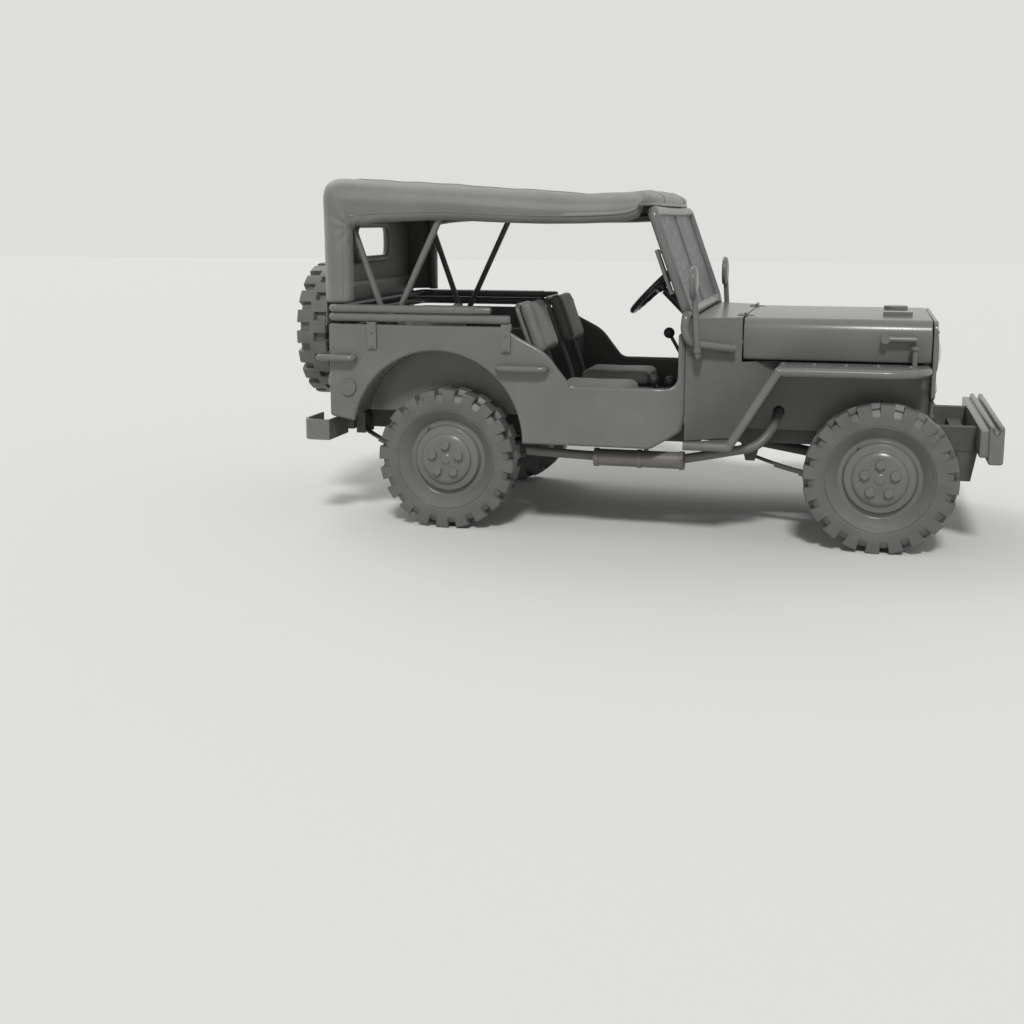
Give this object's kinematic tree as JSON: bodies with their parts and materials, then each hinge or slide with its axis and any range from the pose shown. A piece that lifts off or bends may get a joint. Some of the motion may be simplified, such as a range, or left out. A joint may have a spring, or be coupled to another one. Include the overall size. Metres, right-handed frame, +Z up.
{
  "type": "army 4x4 car",
  "caption": "Open army 4x4 car with a canvas top on tube bows, flat fenders, lugged tyres and a rear spare wheel; its wheels roll and steer and its hood lifts.",
  "frame": {"origin": "on the ground, under the middle of the overall length and width", "axes": "+X forward, +Y to the car's left, +Z up"},
  "size_m": [3.3864, 1.568, 1.692],
  "materials": {
    "body_paint": "satin paint",
    "tube_paint": "satin paint",
    "chassis_paint": "satin paint",
    "black_steel": "satin paint",
    "spring_steel": "dull",
    "exhaust_steel": "dull",
    "engine_iron": "rough casting",
    "tyre_rubber": "matt rubber",
    "canvas": "woven, matt",
    "seat_canvas": "woven, matt",
    "wheel_plastic": "gloss",
    "lens_plastic": "gloss",
    "window_glass": "clear",
    "lamp_glass": "moulded"
  },
  "bodies": {
    "chassis": {"chassis_frame": "chassis_paint", "front_bumper": "body_paint", "rear_bumperettes": "body_paint", "front_axle": "chassis_paint", "rear_axle": "chassis_paint", "leaf_springs": "spring_steel", "dampers": "chassis_paint", "engine": "engine_iron", "gearbox": "engine_iron", "propeller_shafts": "spring_steel", "exhaust": "exhaust_steel", "radiator": "chassis_paint", "grille": "body_paint", "headlamps": "lamp_glass", "fender_left": "body_paint", "fender_right": "body_paint", "cowl": "body_paint", "tub_floor": "body_paint", "body_side_left": "body_paint", "body_side_right": "body_paint", "rear_panel": "body_paint", "windscreen_frame": "body_paint", "windscreen_glass": "window_glass", "mirrors": "body_paint", "steering_column": "black_steel", "cabin_controls": "black_steel", "seat_frames": "tube_paint", "seat_cushions": "seat_canvas", "seat_backs": "seat_canvas", "top_bows": "tube_paint", "canvas_top": "canvas", "stowed_hoops": "tube_paint", "hoop_brackets": "tube_paint", "grab_handles": "tube_paint", "rear_lamps": "lens_plastic", "spare_carrier": "body_paint", "spare_rim": "body_paint", "spare_tyre": "tyre_rubber"},
    "hood": {"hood": "body_paint", "hood_fittings": "body_paint"},
    "knuckle_left": {"knuckle_left": "chassis_paint"},
    "knuckle_right": {"knuckle_right": "chassis_paint"},
    "tie_rod": {"tie_rod": "spring_steel"},
    "steering_wheel": {"steering_wheel": "wheel_plastic"},
    "wheel_front_left": {"rim_front_left": "body_paint", "tyre_front_left": "tyre_rubber"},
    "wheel_front_right": {"rim_front_right": "body_paint", "tyre_front_right": "tyre_rubber"},
    "wheel_rear_left": {"rim_rear_left": "body_paint", "tyre_rear_left": "tyre_rubber"},
    "wheel_rear_right": {"rim_rear_right": "body_paint", "tyre_rear_right": "tyre_rubber"}
  },
  "joints": [
    {"name": "steer_left", "type": "hinge", "parent": "chassis", "child": "knuckle_left", "pos_m": [1.16825, 0.52, 0.34], "axis": [0, 0, 1], "range_deg": [-26, 26]},
    {"name": "steer_right", "type": "hinge", "parent": "chassis", "child": "knuckle_right", "pos_m": [1.16825, -0.52, 0.34], "axis": [0, 0, 1], "range_deg": [-26, 26]},
    {"name": "tie_rod_swing", "type": "hinge", "parent": "knuckle_left", "child": "tie_rod", "pos_m": [1.31825, 0.52, 0.355], "axis": [0, 0, 1], "range_deg": [-26, 26]},
    {"name": "steering_wheel_turn", "type": "hinge", "parent": "chassis", "child": "steering_wheel", "pos_m": [0.01625, 0.33, 1.146], "axis": [-0.7071, 0, 0.7071], "range_deg": [-364, 364]},
    {"name": "hood_lift", "type": "hinge", "parent": "chassis", "child": "hood", "pos_m": [0.52875, 0, 1.048], "axis": [0, -1, 0], "range_deg": [0, 105]},
    {"name": "front_left_roll", "type": "hinge", "parent": "knuckle_left", "child": "wheel_front_left", "pos_m": [1.16825, 0.62, 0.34], "axis": [0, 1, 0], "continuous": true},
    {"name": "front_right_roll", "type": "hinge", "parent": "knuckle_right", "child": "wheel_front_right", "pos_m": [1.16825, -0.62, 0.34], "axis": [0, 1, 0], "continuous": true},
    {"name": "rear_left_roll", "type": "hinge", "parent": "chassis", "child": "wheel_rear_left", "pos_m": [-0.86375, 0.62, 0.34], "axis": [0, 1, 0], "continuous": true},
    {"name": "rear_right_roll", "type": "hinge", "parent": "chassis", "child": "wheel_rear_right", "pos_m": [-0.86375, -0.62, 0.34], "axis": [0, 1, 0], "continuous": true}
  ],
  "couplings": [
    {"joint": "steer_right", "follows": "steer_left", "ratio": 1},
    {"joint": "tie_rod_swing", "follows": "steer_left", "ratio": -1},
    {"joint": "steering_wheel_turn", "follows": "steer_left", "ratio": 14}
  ]
}
